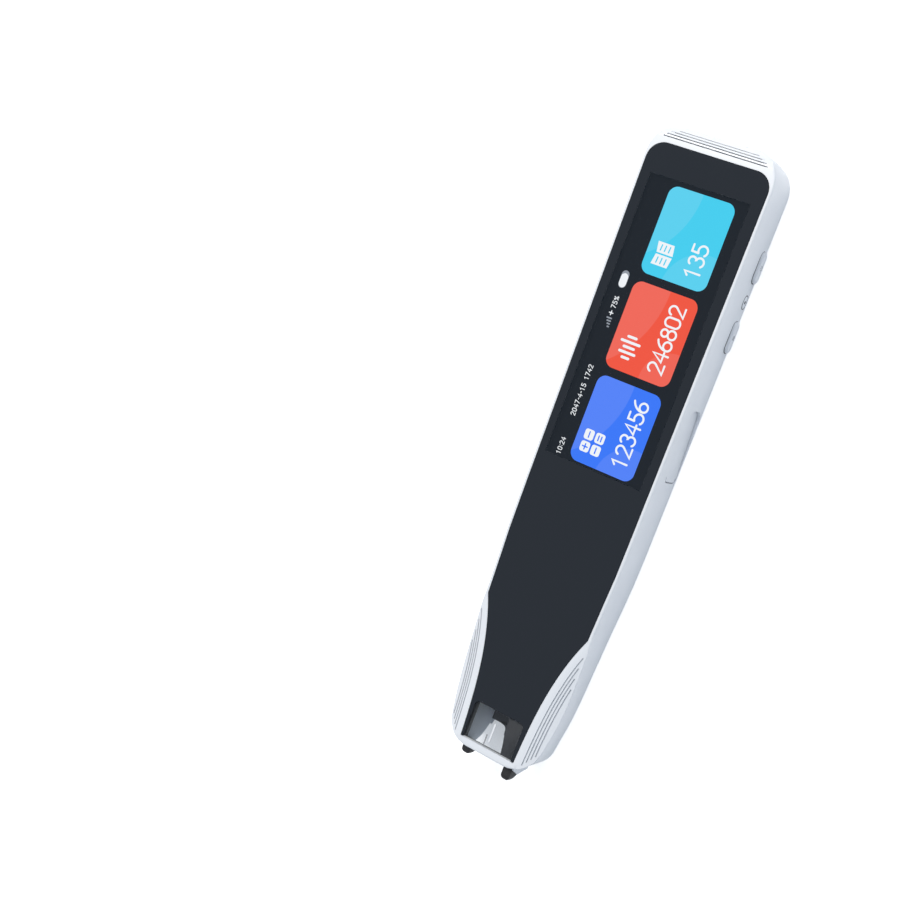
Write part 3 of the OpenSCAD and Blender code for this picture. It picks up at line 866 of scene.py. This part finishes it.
@dataclass
class Shell:
    """White moulded body with its keys, port cover and lanyard insert.

    The right side leans by draft and, below top_y, narrows by taper.
    """

    white: MouldedPlastic = MouldedPlastic(
        "white_shell_satin", (0.80, 0.83, 0.87), 0.36, 7000, 0.000003, 0.012, seam_z=1.0, crevice_shade=0.3
    )
    half_width: float = 17.65
    front_z: float = 13.8
    top_y: float = 68.1
    taper: float = 0.0108
    draft: float = 0.08
    key_z: float = 2.9
    power_y: float = 54.6
    menu_y: float = 36.8
    mic_y: float = 45.7
    cap_top: float = 0.7
    sign_width: float = 0.16
    sign_sink: float = 0.01
    sign_rise: float = 0.03
    key_gap: Point = (8.12, 3.2)
    mic_gap: Point = (3.33, 2.23)
    gap_shade_width: float = 0.1
    gap_shade_depth: float = 0.6
    gap_shade_rise: float = 0.04
    mesh_radius: float = 0.4
    mesh_depth: float = 0.5
    mesh_top: float = 0.08

    def build(self) -> None:
        """Dresses the nodes of the body, and adds the signs of the keys and the painted shade in the gaps."""
        white = self.white.make()
        dress("housing", white, soft_angle=32)
        dress("rear_cover", white, soft_angle=32)
        dress("power_button", white, 0.1, 40)
        dress("menu_button", white, 0.1, 40)
        dress("port_cover", white, 0.08, 40)
        dress("lanyard_insert", white, 0.08, 40)
        dress("mic_trim", white, 0.04, 40)
        self.signs()
        self.gaps()

    def signs(self) -> None:
        """Open ring with a bar on the upper key, and three bars on the lower one."""
        ink = MouldedPlastic("key_print", (0.36, 0.38, 0.41), 0.5, 5000, 0.000002, 0.05).make()
        low, high = self.cap_top - self.sign_sink, self.cap_top + self.sign_rise
        power = [arc(0, 0, 0.55, 125, 415, 24), np.array([[0.0, 0.2], [0.0, 0.75]])]
        menu = [np.array([[-0.55, v], [0.55, v]]) for v in (-0.42, 0.0, 0.42)]
        for name, y, paths, body in (
            ("power_sign", self.power_y, power, Body.POWER),
            ("menu_sign", self.menu_y, menu, Body.MENU),
        ):
            sign = join([stroke(path, self.sign_width, low, high) for path in paths])
            place(piece(name, *self.on_side(y, sign)), ink, body)

    def gaps(self) -> None:
        """Dark rings that fill and edge the gaps around the keys and the microphone as painted shade, and the
        microphone's mesh.
        """
        # Painted shade: dark rings stand where the gaps hold only shade; the same dark colour serves the
        # microphone's mesh.
        shade_and_mesh_dark = MouldedPlastic("gap_shade_and_mesh", (0.03, 0.032, 0.036), 0.7, 4000, 0.000004, 0.1).make()
        for name, y, (length, width) in (
            ("power_gap_shade", self.power_y, self.key_gap),
            ("menu_gap_shade", self.menu_y, self.key_gap),
            ("mic_gap_shade", self.mic_y, self.mic_gap),
        ):
            sleeve_path = self.stadium(length, width)
            lip_path = self.stadium(length + self.gap_shade_width, width + self.gap_shade_width)
            sleeve = stroke(sleeve_path, self.gap_shade_width, -self.gap_shade_depth, 0.0, True)
            lip = stroke(lip_path, 2 * self.gap_shade_width, 0.0, self.gap_shade_rise, True)
            place(piece(name, *self.on_side(y, join([sleeve, lip]))), shade_and_mesh_dark)
        mesh = slab(circle_outline(0, 0, self.mesh_radius, 24), -self.mesh_depth, self.mesh_top)
        place(piece("mic_mesh", *self.on_side(self.mic_y, mesh)), shade_and_mesh_dark)

    @staticmethod
    def stadium(length: float, width: float) -> Array:
        """Closed path of two half circles joined by straight sides, turning left."""
        straight, turn = (length - width) / 2, width / 2
        return np.concatenate([arc(straight, 0, turn, -90, 90), arc(-straight, 0, turn, 90, 270)])

    def on_side(self, y: float, mesh: Mesh) -> Mesh:
        """Sets a flat mesh on the leaning right side at a place along the pen.

        The side lies at x = half_width - taper (top_y - y) - draft (front_z - z).

        Args:
            y: The place along the pen.
            mesh: Vertices given along the pen, up the side and out of it, and faces.

        Returns:
            The mesh on the side.
        """
        lean = math.atan(self.draft)
        out_x, out_z = math.cos(lean), -math.sin(lean)
        ways = np.array([[0, 1, 0], [-out_z, 0, out_x], [out_x, 0, out_z]])
        narrowing = self.taper * (self.top_y - y) + self.draft * (self.front_z - self.key_z)
        return mesh[0] @ ways + [self.half_width - narrowing, y, self.key_z], mesh[1]


@dataclass
class Screen:
    """Lit screen: dark field, three tiles with plain signs, and a row of status marks.

    Thin layers lie over each other and are kept a small step apart.
    """

    body_top: float = 12.8
    field_z: float = 12.84
    tile_z: float = 12.86
    mark_z: float = 12.88
    step: float = 0.002
    lift: float = 0.018
    tile_x: Point = (-8.0, 10.2)
    tile_starts: tuple[float, ...] = (-4.4, 19.9, 44.1)
    tile_length: float = 22.1
    tile_radius: float = 2.4
    tile_tints: tuple[Colour, ...] = (srgb(54, 121, 255), srgb(250, 85, 59), srgb(67, 212, 245))
    tile_discs: tuple[tuple[Disc, ...], ...] = (
        ((-22.0, 17.0, 24.0, 0.055), (9.0, -5.5, 9.0, 0.05)),
        ((-24.0, 41.5, 26.0, 0.055), (10.0, 20.5, 8.0, 0.045)),
        ((-20.0, 66.0, 21.0, 0.055), (8.5, 43.0, 10.0, 0.05)),
    )
    numbers: tuple[str, ...] = ("123456", "246802", "135")
    number_x: float = 5.4
    number_start: float = 2.6
    status_x: float = -11.0
    clock_y: float = -4.4
    day_y: float = 5.7
    signal_y: float = 28.9
    plus_y: float = 32.3
    share_y: float = 33.6
    charge_y: Point = (39.85, 42.15)
    charge_width: float = 2.1
    charged: float = 1.6
    charge_rim: float = 0.05
    large: Lettering = Lettering(4.1, 0.52, 0.7)
    small: Lettering = Lettering(1.2, 0.19, 0.84)

    @property
    def mark_low(self) -> float:
        """Height of the underside of the marks."""
        return self.tile_z + 2 * self.step

    def marks(self, name: str, parts: list[Mesh], material: Material) -> None:
        """Places thin lit marks over the tiles."""
        place(piece(name, *join(parts)), material)

    def line(self, path: list[Point], width: float, lift: float = 0.0) -> Mesh:
        """Thin stroke over the tiles, higher by a small lift where it lies on another."""
        return stroke(np.array(path), width, self.mark_low + lift, self.mark_z + lift)

    def build(self) -> None:
        """Builds the panel, the tiles and the marks."""
        self.ground()
        paints = self.tiles()
        white = LitPaint("marks_white", srgb(250, 252, 255)).make()
        grey = LitPaint("marks_grey", srgb(150, 156, 166)).make()
        first, second, third = self.tile_starts
        self.squares(first, white, paints[0])
        self.sound_bars(second, white)
        self.book(third, white, paints[2])
        for index, (number, start) in enumerate(zip(self.numbers, self.tile_starts)):
            at = self.number_x, start + self.number_start
            self.marks(f"label_{index + 1}", self.large.write(number, *at, self.mark_low, self.mark_z), white)
        self.status(white, grey)

    def ground(self) -> None:
        """The panel's metal body and the dark lit field on it."""
        low, high = in_mm(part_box("display_panel"))
        body = slab(rounded_outline(low[:2], high[:2], 0.3), low[2] + 0.01, self.body_top)
        can = Metal("display_can", (0.35, 0.36, 0.38)).make()
        panel = place(piece("display_body", *body), can)
        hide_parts("display_panel")
        dark = LitPaint("screen_dark", srgb(34, 65, 90), 0.1).make()
        lit = slab(rounded_outline(low[:2], high[:2], 0.1), self.body_top, self.field_z)
        place(piece("display_field", *lit), dark)

    def tiles(self) -> list[Material]:
        """Builds the three tiles.

        Returns:
            The finish of each.
        """
        paints = []
        left, right = self.tile_x
        for index, (start, tint, discs) in enumerate(zip(self.tile_starts, self.tile_tints, self.tile_discs)):
            outline = rounded_outline((left, start), (right, start + self.tile_length), self.tile_radius, 12)
            tile = slab(outline, self.field_z + self.step, self.tile_z)
            paints.append(LitPaint(f"tile_lit_{index + 1}", tint, 1.0, discs).make())
            place(piece(f"tile_{index + 1}", *tile), paints[-1])
        return paints

    def squares(self, start: float, white: Material, ink: Material) -> None:
        """Four squares with a plus, two dashes and an equals sign.

        Args:
            start: Where the tile starts along the pen.
            white: Finish of the squares.
            ink: Finish of the signs on them.
        """
        left, near, size, pitch = -6.1, start + 2.8, 2.6, 3.1
        corners = [(left + pitch * i, near + pitch * j) for i in range(2) for j in range(2)]
        outlines = [rounded_outline((x, y), (x + size, y + size), 0.6, 4) for x, y in corners]
        self.marks("sign_squares", [slab(outline, self.mark_low, self.mark_z) for outline in outlines], white)
        middles = [(x + size / 2, y + size / 2) for x, y in corners]
        lower_left, upper_left, lower_right, upper_right = middles
        arm, weight, half_gap, half_bar = 0.7, 0.34, 0.4, 0.6
        signs = []
        for (x, y), crossed in ((lower_left, True), (lower_right, False), (upper_left, False)):
            signs.append(self.line([(x, y - arm), (x, y + arm)], weight, self.lift))
            if crossed:
                signs.append(self.line([(x - arm, y), (x + arm, y)], weight, self.lift + self.step))
        middle, y = upper_right
        for x in (middle - half_gap, middle + half_gap):
            signs.append(self.line([(x, y - half_bar), (x, y + half_bar)], weight, self.lift))
        self.marks("sign_sums", signs, ink)

    def sound_bars(self, start: float, white: Material) -> None:
        """Five sound bars of unequal length.

        Args:
            start: Where the tile starts along the pen.
            white: Finish of the bars.
        """
        middle, near, pitch, weight = -3.2, start + 3.4, 1.3, 0.66
        bars = []
        for i, half in enumerate((0.9, 2.1, 1.4, 2.5, 1.1)):
            y = near + pitch * i
            bars.append(self.line([(middle - half, y), (middle + half, y)], weight))
        self.marks("sign_bars", bars, white)

    def book(self, start: float, white: Material, ink: Material) -> None:
        """Two slanting pages of an open book, with three lines of text on each.

        Args:
            start: Where the tile starts along the pen.
            white: Finish of the pages.
            ink: Finish of the text.
        """
        top, foot, slant = -5.4, -0.9, 0.45
        near_page = [(foot, 5.35), (top, 5.35), (top - slant, 2.7), (foot - slant, 2.7)]
        far_page = [(top, 5.75), (foot, 5.75), (foot - slant, 8.4), (top - slant, 8.4)]
        outlines = [np.array(page) + [0, start] for page in (near_page, far_page)]
        self.marks("sign_book", [slab(outline, self.mark_low, self.mark_z) for outline in outlines], white)
        first_x, pitch, length, fall, weight = -4.6, 1.15, 1.35, 0.1, 0.32
        text = []
        for x in (first_x, first_x + pitch, first_x + 2 * pitch):
            for y in (start + 3.3, start + 6.4):
                text.append(self.line([(x, y), (x + fall, y + length)], weight, self.lift))
        self.marks("sign_text", text, ink)

    def status(self, white: Material, grey: Material) -> None:
        """Clock, day, signal and charge along the left edge of the screen.

        Args:
            white: Finish of the bright marks.
            grey: Finish of the others.
        """
        x, y, arm, weight = self.status_x, self.plus_y, 0.5, 0.26
        solids = []
        texts = ("10:24", self.clock_y), ("2047-4-15 1742", self.day_y), ("75%", self.share_y)
        for text, start in texts:
            solids += self.small.write(text, x, start, self.mark_low, self.mark_z)
        solids.append(self.line([(x - arm, y), (x + arm, y)], weight))
        solids.append(self.line([(x, y - arm), (x, y + arm)], weight, self.step))
        low, high = self.charge_y
        fill = low + self.charge_rim
        fill_width = self.charge_width - 3 * self.charge_rim
        solids.append(self.line([(x, fill), (x, fill + self.charged)], fill_width))
        self.marks("status_white", solids, white)
        case = np.array([[x, low], [x, high]])
        charge = stroke(case, self.charge_width, self.mark_low, self.mark_z - 3 * self.step)
        foot, top, growth, pitch, weight = 0.6, 0.3, 0.3, 0.7, 0.38
        bars = []
        for i in range(4):
            y = self.signal_y + pitch * i
            bars.append(self.line([(x + foot, y), (x + top - growth * i, y)], weight))
        self.marks("status_grey", [charge, *bars], grey)


@dataclass
class Front:
    """Cover glass and scan window with its white guide line, and a grey line and edge of painted shadow."""

    face_z: float = 14.0
    rise: float = 0.012
    step: float = 0.002
    line_round: float = 0.08
    centre_line: tuple[Point, Point] = ((-0.25, -76.9), (0.2, -72.0))
    centre_shade_edge: tuple[Point, Point] = ((0.2, -76.9), (0.3, -72.0))
    shadow_line: tuple[Point, Point] = ((-1.32, -78.5), (-0.96, -75.3))

    def build(self) -> None:
        """Dresses the glass and the window, draws the white guide line, and paints its shadow as a grey line
        and a grey edge along it.
        """
        dress("front_glass", CoverGlass().make(), soft_angle=25)
        dress("scan_window", ClearPane().make(), 0.09, soft_angle=25)
        low, high = self.face_z, self.face_z + self.rise
        white = MouldedPlastic("guide_white", (0.82, 0.84, 0.87), 0.4, 5000, 0.000002, 0.02).make()
        # Painted shadow: the grey line paints the white line's shadow, and the grey edge paints shade along
        # its side.
        grey = MouldedPlastic("guide_shadow_grey", (0.3, 0.31, 0.33), 0.4, 5000, 0.000002, 0.05).make()
        centre = slab(rounded_outline(*self.centre_line, self.line_round, 3), low, high)
        place(piece("guide_centre", *centre), white)
        side = slab(rounded_outline(*self.shadow_line, self.line_round, 3), low, high)
        edge = slab(rounded_outline(*self.centre_shade_edge, self.line_round / 2, 2), low, high - self.step)
        place(piece("guide_shadow", *join([side, edge])), grey)


@dataclass
class Chamber:
    """Reading chamber: lining, light board with its lamps, and the camera."""

    web_low: float = 2.1
    web_high: float = 2.35
    lens: Place = (0.0, -68.75, 6.5)
    lens_radius: float = 1.35
    lens_depth: float = 0.2
    lens_round: float = 0.15

    def build(self) -> None:
        """Dresses the chamber's nodes and adds the corner web and the lens glass."""
        lining = MouldedPlastic("hood_lining", (0.088, 0.09, 0.096), 0.5, 3500, 0.000012, 0.1, 0.4).make()
        pale = MouldedPlastic("side_lining_grey", (0.86, 0.92, 0.99), 0.45, 3500, 0.00001, 0.05).make()
        black = MouldedPlastic("camera_black", (0.012, 0.012, 0.014), 0.42, 5000, 0.000006, 0.1).make()
        barrel = MouldedPlastic("lens_barrel", (0.01, 0.01, 0.013), 0.18, 5000, 0.000002, 0.1).make()
        lamp = MouldedPlastic("led_phosphor", (0.85, 0.72, 0.3), 0.25, 3000, 0.000008, 0.1).make()
        film = Crumpled("ribbon_polyimide", (0.42, 0.15, 0.03), 0.3, 0.1, 500, 0.00001).make()
        dress("scan_hood", lining, 0.06)
        dress("side_lining", pale, 0.05)
        dress("camera_module", black, 0.06)
        dress("camera_lens", barrel)
        dress("light_board", BoardMask("light_board_mask").make(), 0.04)
        dress("reading_leds", lamp, 0.06)
        dress("camera_ribbon", film)
        corner = np.concatenate([
            [[-4.4, -74.25]], arc(-3.67, -75.5, 1.1, 77, 0, 10),
            [[-2.5, -75.8], [-2.45, -76.7], [3.5, -76.7], [3.5, -74.0], [-4.4, -74.0]],
        ])
        place(piece("corner_web", *slab(corner, self.web_low, self.web_high)), lining)
        self.lens_glass()

    def lens_glass(self) -> None:
        """Coated front lens of the camera, turned from the vertical to face the tip."""
        spots, faces = slab(circle_outline(0, 0, self.lens_radius, 36), 0.0, self.lens_depth, self.lens_round)
        turned = np.stack([spots[:, 0], -spots[:, 2], spots[:, 1]], axis=1) + self.lens
        coated = MouldedPlastic("lens_coating", (0.02, 0.012, 0.035), 0.06, 3000, 0.0000005, 0.2, 0.8)
        place(piece("lens_glass", turned, faces), coated.make())


@dataclass
class Trigger:
    """Feet, plunger, switch and spring."""

    travel: float = 1.3
    wire: float = 0.16
    turns: int = 4
    steps: int = 36
    sides: int = 12

    def spring(self) -> None:
        """Builds the coil spring at rest; the real one shortens towards its fixed end as the foot slides in.

        A circle of the wire's radius is carried along a helix: the point at turn angle a and wire
        angle b lies at coil radius plus wire times cos b from the axis, and the helix climbs evenly.
        """
        low, high = in_mm(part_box("trigger_spring"))
        centre = (low + high) / 2
        coil = (high[0] - low[0]) / 2 - self.wire
        length = high[1] - low[1]
        turn = np.linspace(0, 2 * np.pi * self.turns, self.steps * self.turns + 1)[:, None]
        around = np.linspace(0, 2 * np.pi, self.sides, endpoint=False)[None, :]
        climb = low[1] + self.wire + (length - 2 * self.wire) * turn / turn[-1]
        reach = coil + self.wire * np.cos(around)
        x, z = centre[0] + reach * np.cos(turn), centre[2] + reach * np.sin(turn)
        rings = np.stack([x, climb + self.wire * np.sin(around), z], axis=-1)
        steel = Metal("spring_wire", (0.72, 0.72, 0.74), 0.25, (1, 1, 1)).make()
        made = place(piece("return_spring", *ring_solid(rings), 50), steel)
        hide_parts("trigger_spring")
        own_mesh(made)

    def build(self) -> None:
        """Dresses the trigger's nodes and builds its spring."""
        rubber = MouldedPlastic("foot_black", (0.014, 0.014, 0.016), 0.48, 5500, 0.000008, 0.12).make()
        dress("trigger_foot", rubber, 0.1, 40)
        dress("support_foot", rubber, 0.1, 40)
        dress("switch_plunger", MouldedPlastic("plunger_red", (0.42, 0.02, 0.02), 0.35).make(), 0.05)
        dress("trigger_switch", MouldedPlastic("switch_black", (0.02, 0.021, 0.024), 0.45).make(), 0.06)
        self.spring()


@dataclass
class Internals:
    """Boards, battery, speaker and frame inside the body."""

    cell: Crumpled = Crumpled("cell_pouch", (0.5, 0.52, 0.55), 0.28, 0.9)
    pads: Crumpled = Crumpled("pad_foam", (0.03, 0.03, 0.032), 0.9, 0.0, 1500, 0.00006)

    def build(self) -> None:
        """Dresses the inner nodes."""
        steel = Metal("sheet_steel", (0.62, 0.63, 0.65), 0.34).make()
        dark_steel = Metal("screw_steel", (0.12, 0.12, 0.13), 0.4, (1, 1, 1)).make()
        board = BoardMask("main_board_mask").make()
        black = MouldedPlastic("speaker_black", (0.015, 0.015, 0.017), 0.5).make()
        for node in ("mid_frame", "shield_can", "microphone", "usb_socket"):
            dress(node, steel, 0.04)
        for node in ("frame_screws", "board_screws"):
            dress(node, dark_steel, 0.03)
        for node in ("main_board", "key_board"):
            dress(node, board)
        dress("speaker", black, 0.06)
        dress("backlight_unit", MouldedPlastic("light_guide", (0.75, 0.75, 0.73), 0.5).make(), 0.05)
        dress("dome_switches", Metal("dome_brass", (0.75, 0.52, 0.2), 0.22, (1, 1, 1)).make())
        dress("port_cover_pin", Metal("pin_steel", (0.6, 0.6, 0.62), 0.25).make())
        dress("battery", self.cell.make(), 0.2)
        dress("battery_pads", self.pads.make(), 0.08)


# --- studio -----------------------------------------------------------------------------------


@dataclass(frozen=True)
class Lamp:
    """Square soft lamp that faces the middle of the pen."""

    name: str
    spot: Place
    size: float
    power: float
    colour: Colour

    def build(self) -> None:
        """Builds the lamp, tilted from straight down and then turned about the vertical."""
        light = bpy.data.lights.new(self.name, "AREA")
        light.shape = "SQUARE"
        light.size = self.size
        light.energy = self.power
        light.color = self.colour
        made = bpy.data.objects.new(self.name, light)
        made.location = self.spot
        x, y, z = self.spot
        tilt, turn = math.atan2(math.hypot(x, y), z), math.atan2(-y, -x) - math.pi / 2
        made.rotation_euler = Euler((tilt, 0, turn))
        bpy.context.collection.objects.link(made)


@dataclass
class Studio:
    """Pale floor, soft light and the camera."""

    camera_place: Place = (0.18908, 0.03512, 0.40657)
    camera_turn: Place = (5.81392, 30.27907, 23.65877)
    lens: float = 72.0
    sky: Colour = (0.80, 0.87, 0.97)
    sky_strength: float = 0.60
    floor_side: float = 3000.0
    floor_drop: float = 0.02
    floor_glow: float = 0.62
    mirrored: float = 0.4
    shade_behind_pane: float = 0.34
    lamps: tuple[Lamp, ...] = (
        Lamp("key", (-0.45, 0.51, 1.0), 0.4, 9.0, (1.0, 0.94, 0.86)),
        Lamp("rim", (0.45, 0.9, 0.4), 0.3, 1.8, (0.97, 0.98, 1.0)),
    )

    def floor(self) -> None:
        """Wide floor that keeps the shadow and otherwise reads as white.

        It shines where it is looked at, less in a mirror, and less behind a clear pane, which paints the
        shade under the reading chamber.
        """
        side, z = self.floor_side, -self.floor_drop
        corners = np.array([[-side, -side, z], [side, -side, z], [side, side, z], [-side, side, z]])
        made = piece("floor", corners, [[0, 1, 2, 3]])
        g = Graph("floor_white")
        matt = g.add("BsdfDiffuse", Color=(0.86, 0.87, 0.88, 1.0))
        seen = g.add("LightPath").outputs
        sight = g.math("MAXIMUM", seen["Is Camera Ray"], seen["Is Transmission Ray"])
        sight = g.math("MAXIMUM", sight, g.math("MULTIPLY", seen["Is Glossy Ray"], self.mirrored))
        # Painted shade: the floor glows less where it is seen through a pane.
        seen_through_pane = g.math("GREATER_THAN", seen["Transparent Depth"], 0.5)
        sight = g.math("MULTIPLY", sight, g.math("SUBTRACT", 1.0, g.math("MULTIPLY", seen_through_pane, self.shade_behind_pane)))
        glow = g.add("Emission", Color=(1, 1, 1, 1), Strength=g.math("MULTIPLY", sight, self.floor_glow))
        made.data.materials.append(g.finish(g.add_shaders(matt.outputs[0], glow.outputs[0])))

    def build_sky(self) -> None:
        """Pale blue sky that lights the pen, and reads as white where it is looked at."""
        world = bpy.data.worlds.new("studio_sky")
        bpy.context.scene.world = world
        world.use_nodes = True
        nodes, link = world.node_tree.nodes, world.node_tree.links.new
        sky = nodes["Background"]
        sky.inputs["Color"].default_value = (*self.sky, 1.0)
        sky.inputs["Strength"].default_value = self.sky_strength
        white = nodes.new("ShaderNodeBackground")
        white.inputs["Color"].default_value = (1.0, 1.0, 1.0, 1.0)
        seen = nodes.new("ShaderNodeLightPath")
        either = nodes.new("ShaderNodeMath")
        either.operation = "MAXIMUM"
        link(seen.outputs["Is Camera Ray"], either.inputs[0])
        link(seen.outputs["Is Transmission Ray"], either.inputs[1])
        both = nodes.new("ShaderNodeMixShader")
        link(either.outputs[0], both.inputs[0])
        link(sky.outputs[0], both.inputs[1])
        link(white.outputs[0], both.inputs[2])
        link(both.outputs[0], nodes["World Output"].inputs["Surface"])

    def camera(self) -> None:
        """The camera and the way in which its picture is shown."""
        camera = bpy.data.cameras.new("camera")
        camera.lens = self.lens
        camera.sensor_width = 36.0
        camera.clip_start = 0.01
        made = bpy.data.objects.new("camera", camera)
        made.location = self.camera_place
        made.rotation_euler = Euler([math.radians(a) for a in self.camera_turn])
        bpy.context.collection.objects.link(made)
        bpy.context.scene.camera = made
        bpy.context.scene.view_settings.view_transform = "Standard"

    def build(self) -> None:
        """Builds the floor, the sky, the lamps and the camera."""
        self.floor()
        self.build_sky()
        for lamp in self.lamps:
            lamp.build()
        self.camera()


def main() -> None:
    """Builds the studio and dresses the pen, part by part."""
    logging.basicConfig(level=logging.INFO, format="%(message)s")
    Studio().build()
    Shell().build()
    Front().build()
    Screen().build()
    Chamber().build()
    Trigger().build()
    Internals().build()


if __name__ == "__main__":
    main()
